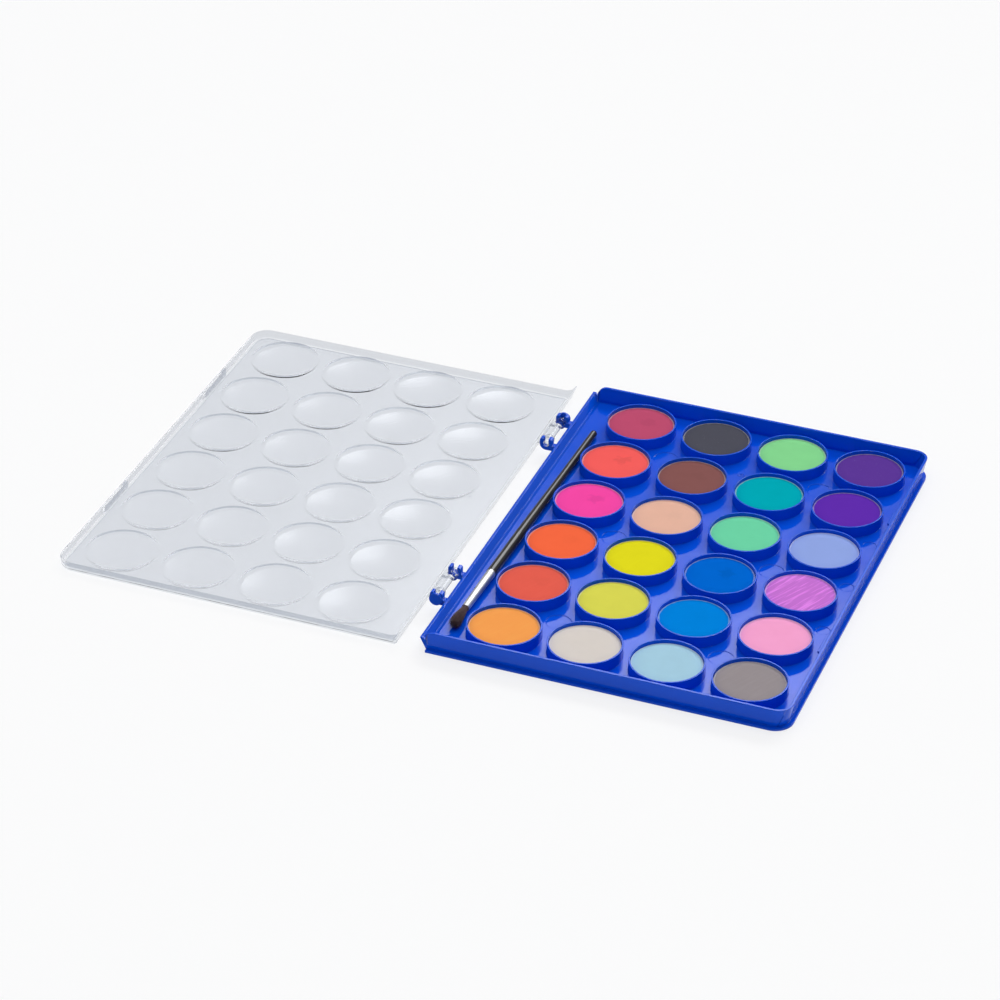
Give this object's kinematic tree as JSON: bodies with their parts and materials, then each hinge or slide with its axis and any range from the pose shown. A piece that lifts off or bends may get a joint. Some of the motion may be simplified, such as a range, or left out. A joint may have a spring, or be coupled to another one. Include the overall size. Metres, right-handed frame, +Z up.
{
  "type": "watercolour paint set",
  "caption": "Flat watercolour set: blue tray of round paint tablets in cups, clear hinged lid with mixing wells laid open, and a thin brush in the trough.",
  "frame": {"origin": "on the table under the middle of the set with its lid laid open", "axes": "+X from the lid to the tray across the hinge, +Y along the hinge to the back, +Z up"},
  "size_m": [0.3446, 0.2308, 0.0105],
  "materials": {
    "tray_plastic": "gloss",
    "lid_plastic": "gloss",
    "handle_paint": "gloss",
    "ferrule_metal": "polished",
    "hair": "matte",
    "paint_crimson": "matte",
    "paint_black": "matte",
    "paint_light_green": "matte",
    "paint_violet": "matte",
    "paint_coral": "matte",
    "paint_brown": "matte",
    "paint_teal": "matte",
    "paint_purple": "matte",
    "paint_magenta": "matte",
    "paint_peach": "matte",
    "paint_mint": "matte",
    "paint_periwinkle": "matte",
    "paint_orange_red": "matte",
    "paint_yellow": "matte",
    "paint_blue": "matte",
    "paint_orchid": "matte",
    "paint_brick_red": "matte",
    "paint_lemon": "matte",
    "paint_light_blue": "matte",
    "paint_pink": "matte",
    "paint_orange": "matte",
    "paint_off_white": "matte",
    "paint_sky_blue": "matte",
    "paint_grey": "matte"
  },
  "bodies": {
    "tray": {"tray": "tray_plastic", "tablet_crimson": "paint_crimson", "tablet_black": "paint_black", "tablet_light_green": "paint_light_green", "tablet_violet": "paint_violet", "tablet_coral": "paint_coral", "tablet_brown": "paint_brown", "tablet_teal": "paint_teal", "tablet_purple": "paint_purple", "tablet_magenta": "paint_magenta", "tablet_peach": "paint_peach", "tablet_mint": "paint_mint", "tablet_periwinkle": "paint_periwinkle", "tablet_orange_red": "paint_orange_red", "tablet_yellow": "paint_yellow", "tablet_blue": "paint_blue", "tablet_orchid": "paint_orchid", "tablet_brick_red": "paint_brick_red", "tablet_lemon": "paint_lemon", "tablet_light_blue": "paint_light_blue", "tablet_pink": "paint_pink", "tablet_orange": "paint_orange", "tablet_off_white": "paint_off_white", "tablet_sky_blue": "paint_sky_blue", "tablet_grey": "paint_grey"},
    "lid": {"lid": "lid_plastic"},
    "brush": {"brush_handle": "handle_paint", "brush_ferrule": "ferrule_metal", "brush_hair": "hair"}
  },
  "joints": [
    {"name": "lid_hinge", "type": "hinge", "parent": "tray", "child": "lid", "pos_m": [-0.0002, 0, 0.0074], "axis": [0, 1, 0], "range_deg": [0, 180]},
    {"name": "brush_lift", "type": "slide", "parent": "tray", "child": "brush", "axis": [0, 0, 1], "range_m": [0, 0.06]}
  ]
}
